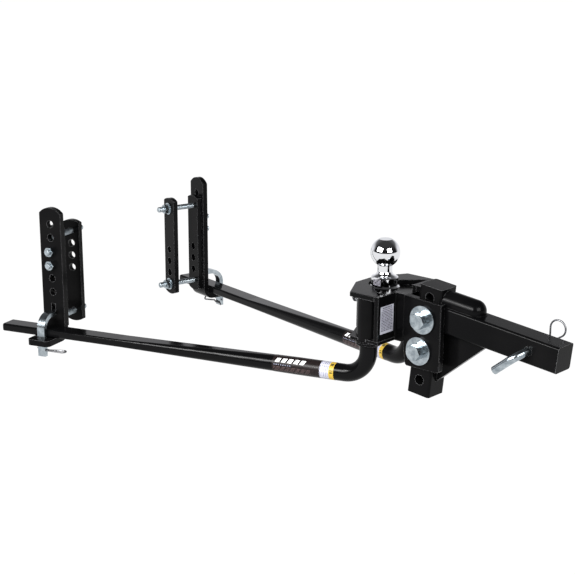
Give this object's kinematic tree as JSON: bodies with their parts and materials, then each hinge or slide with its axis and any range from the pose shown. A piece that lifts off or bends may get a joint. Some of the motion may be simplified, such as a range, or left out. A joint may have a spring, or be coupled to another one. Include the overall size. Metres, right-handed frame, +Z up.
{
  "type": "weight distribution hitch",
  "caption": "Weight distribution hitch: square shank with adjustable ball head, swinging spring bars and clamp-on brackets for a trailer frame.",
  "frame": {"origin": "centre of the hitch ball", "axes": "+X along the shank towards the tow vehicle, +Y to the vehicle's left, +Z up; head, bars and brackets upright, shank pitched 6 degrees nose down"},
  "size_m": [1.2236, 0.5972, 0.3245],
  "materials": {
    "black_powder_coat": "semi-gloss black powder coat over steel",
    "black_bar_paint": "glossy black paint over forged spring steel",
    "bright_zinc": "bright zinc-plated steel with a slight blue cast",
    "spring_wire": "dull zinc-plated spring wire",
    "chrome_plate": "polished chrome plate",
    "label_film": null
  },
  "bodies": {
    "shank": {"shank_bar": "black_powder_coat", "shank_column": "black_powder_coat", "shank_gusset": "black_powder_coat", "shank_top_rib": "black_powder_coat", "head_bolts": "bright_zinc", "head_bolt_washers": "bright_zinc", "head_bolt_lock_washers": "bright_zinc", "head_bolt_nuts": "bright_zinc"},
    "head": {"yoke_plate": "black_powder_coat", "ball_platform": "black_powder_coat", "head_floor": "black_powder_coat", "rear_wall": "black_powder_coat", "head_wall_left": "black_powder_coat", "head_wall_right": "black_powder_coat", "cheek_left": "black_powder_coat", "cheek_right": "black_powder_coat", "socket_tube_left": "black_powder_coat", "socket_tube_right": "black_powder_coat", "hitch_ball": "chrome_plate", "ball_lock_washer": "bright_zinc", "ball_nut": "bright_zinc", "rating_label": "label_film"},
    "hitch_pin": {"hitch_pin": "bright_zinc"},
    "hitch_pin_clip": {"hitch_pin_clip": "spring_wire"},
    "bar_left": {"spring_bar_left": "black_bar_paint"},
    "bar_retainer_left": {"bar_retainer_left": "spring_wire"},
    "bracket_left": {"hanger_plate_left": "black_powder_coat", "link_plate_left": "black_powder_coat", "frame_studs_left": "bright_zinc", "link_studs_left": "bright_zinc", "link_stud_nuts_left": "bright_zinc"},
    "clamp_left": {"clamp_plate_left": "black_powder_coat", "clamp_washers_left": "bright_zinc", "clamp_nuts_left": "bright_zinc"},
    "strap_pin_left": {"strap_pin_left": "bright_zinc"},
    "strap_clip_left": {"strap_clip_left": "spring_wire"},
    "bar_right": {"spring_bar_right": "black_bar_paint"},
    "bar_retainer_right": {"bar_retainer_right": "spring_wire"},
    "bracket_right": {"hanger_plate_right": "black_powder_coat", "link_plate_right": "black_powder_coat", "frame_studs_right": "bright_zinc", "link_studs_right": "bright_zinc", "link_stud_nuts_right": "bright_zinc"},
    "clamp_right": {"clamp_plate_right": "black_powder_coat", "clamp_washers_right": "bright_zinc", "clamp_nuts_right": "bright_zinc"},
    "strap_pin_right": {"strap_pin_right": "bright_zinc"},
    "strap_clip_right": {"strap_clip_right": "spring_wire"}
  },
  "joints": [
    {"name": "head_tilt", "type": "hinge", "parent": "shank", "child": "head", "pos_m": [0.1224, 0, -0.1037], "axis": [0, 1, 0], "range_deg": [-4, 4]},
    {"name": "hitch_pin_slide", "type": "slide", "parent": "shank", "child": "hitch_pin", "axis": [0, -1, 0], "range_m": [0, 0.008]},
    {"name": "hitch_pin_clip_pull", "type": "slide", "parent": "hitch_pin", "child": "hitch_pin_clip", "axis": [0.8425, 0, 0.5388], "range_m": [0, 0.035]},
    {"name": "bar_swing_left", "type": "hinge", "parent": "head", "child": "bar_left", "pos_m": [0.017, 0.0676, -0.16], "axis": [0, 0, -1], "range_deg": [-6, 75]},
    {"name": "bar_retainer_pull_left", "type": "slide", "parent": "head", "child": "bar_retainer_left", "axis": [-1, 0, 0], "range_m": [0, 0.012]},
    {"name": "bracket_slide_left", "type": "slide", "parent": "bar_left", "child": "bracket_left", "axis": [-0.969, 0.2461, -0.0227], "range_m": [-0.1, 0.05]},
    {"name": "clamp_slide_left", "type": "slide", "parent": "bracket_left", "child": "clamp_left", "axis": [0.2462, 0.9692, 0], "range_m": [-0.012, 0.045]},
    {"name": "strap_pin_lift_left", "type": "slide", "parent": "bracket_left", "child": "strap_pin_left", "axis": [-0.022, 0.0056, 0.9997], "range_m": [0, 0.008]},
    {"name": "strap_clip_pull_left", "type": "slide", "parent": "strap_pin_left", "child": "strap_clip_left", "axis": [-0.969, 0.2461, -0.0227], "range_m": [0, 0.03]},
    {"name": "bar_swing_right", "type": "hinge", "parent": "head", "child": "bar_right", "pos_m": [0.017, -0.0676, -0.16], "axis": [0, 0, 1], "range_deg": [-6, 75]},
    {"name": "bar_retainer_pull_right", "type": "slide", "parent": "head", "child": "bar_retainer_right", "axis": [-1, 0, 0], "range_m": [0, 0.012]},
    {"name": "bracket_slide_right", "type": "slide", "parent": "bar_right", "child": "bracket_right", "axis": [-0.969, -0.2461, -0.0227], "range_m": [-0.1, 0.05]},
    {"name": "clamp_slide_right", "type": "slide", "parent": "bracket_right", "child": "clamp_right", "axis": [0.2462, -0.9692, 0], "range_m": [-0.012, 0.045]},
    {"name": "strap_pin_lift_right", "type": "slide", "parent": "bracket_right", "child": "strap_pin_right", "axis": [-0.022, -0.0056, 0.9997], "range_m": [0, 0.008]},
    {"name": "strap_clip_pull_right", "type": "slide", "parent": "strap_pin_right", "child": "strap_clip_right", "axis": [0.969, 0.2461, 0.0227], "range_m": [0, 0.03]}
  ]
}
